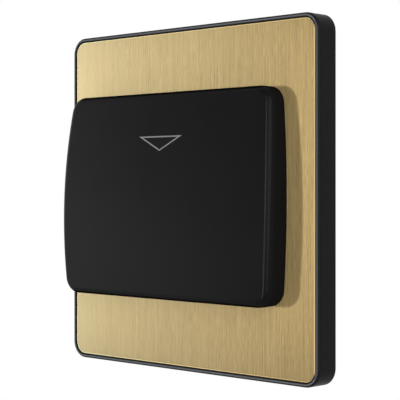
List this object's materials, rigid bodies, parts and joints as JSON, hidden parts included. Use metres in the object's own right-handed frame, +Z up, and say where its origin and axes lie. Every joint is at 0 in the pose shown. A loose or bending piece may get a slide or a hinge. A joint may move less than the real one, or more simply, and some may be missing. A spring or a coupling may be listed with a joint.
{
  "type": "key card switch",
  "caption": "Square wall plate with a brushed brass face in a black frame and a pillow-shaped black hood that takes a key card from the top and works a switch behind it.",
  "frame": {"origin": "centre of the plate on the wall face, at the back edge of the front frame, midway between the two fixing screws", "axes": "+X to the right seen from the front, +Y into the wall along the fixing screws, +Z up; the hood faces -Y and the card goes in from +Z"},
  "size_m": [0.092, 0.0441, 0.092],
  "materials": {
    "black_plastic": "satin moulded",
    "hood_plastic": "satin moulded",
    "brushed_brass": "brushed, vertical grain",
    "zinc_steel": "zinc plated",
    "grey_plastic": "moulded",
    "white_nylon": "moulded",
    "spring_steel": "drawn wire",
    "pin_steel": "ground",
    "switch_plastic": "moulded",
    "button_red": "moulded",
    "board_green": "solder mask",
    "relay_black": "moulded",
    "film_yellow": "moulded",
    "can_sleeve": "shrink sleeve",
    "disc_blue": "epoxy dipped",
    "fuse_metal": "nickel plated",
    "block_green": "moulded",
    "terminal_brass": "machined"
  },
  "bodies": {
    "housing": {"front_frame": "black_plastic", "brass_plate": "brushed_brass", "card_hood": "hood_plastic", "card_guide": "black_plastic", "hood_screws": "zinc_steel", "yoke_plate": "zinc_steel", "fixing_screws": "zinc_steel", "chassis": "grey_plastic", "yoke_screws": "zinc_steel", "lever_pin": "pin_steel", "return_spring": "spring_steel", "microswitch_case": "switch_plastic", "microswitch_pins": "fuse_metal", "circuit_board": "board_green", "relay": "relay_black", "film_capacitor": "film_yellow", "reservoir_capacitor": "can_sleeve", "varistor": "disc_blue", "fuse": "fuse_metal", "terminal_block": "block_green", "terminal_clamps": "terminal_brass", "terminal_screws": "zinc_steel", "rear_cover": "grey_plastic", "cover_screws": "zinc_steel", "earth_clamp": "terminal_brass", "earth_screw": "zinc_steel"},
    "lever": {"actuator_lever": "white_nylon"},
    "switch_button": {"microswitch_button": "button_red"}
  },
  "joints": [
    {"name": "lever_pivot", "type": "hinge", "parent": "housing", "child": "lever", "pos_m": [0, -0.001, -0.013], "axis": [1, 0, 0], "range_deg": [0, 24], "stiffness_Nm_per_rad": 0.012, "springref_deg": -14.32, "deforming": ["return_spring"]},
    {"name": "button_press", "type": "slide", "parent": "housing", "child": "switch_button", "axis": [0, 1, 0], "range_m": [0, 0.0017]}
  ],
  "couplings": [
    {"joint": "button_press", "follows": "lever_pivot", "m_per_rad": 0.0039}
  ]
}
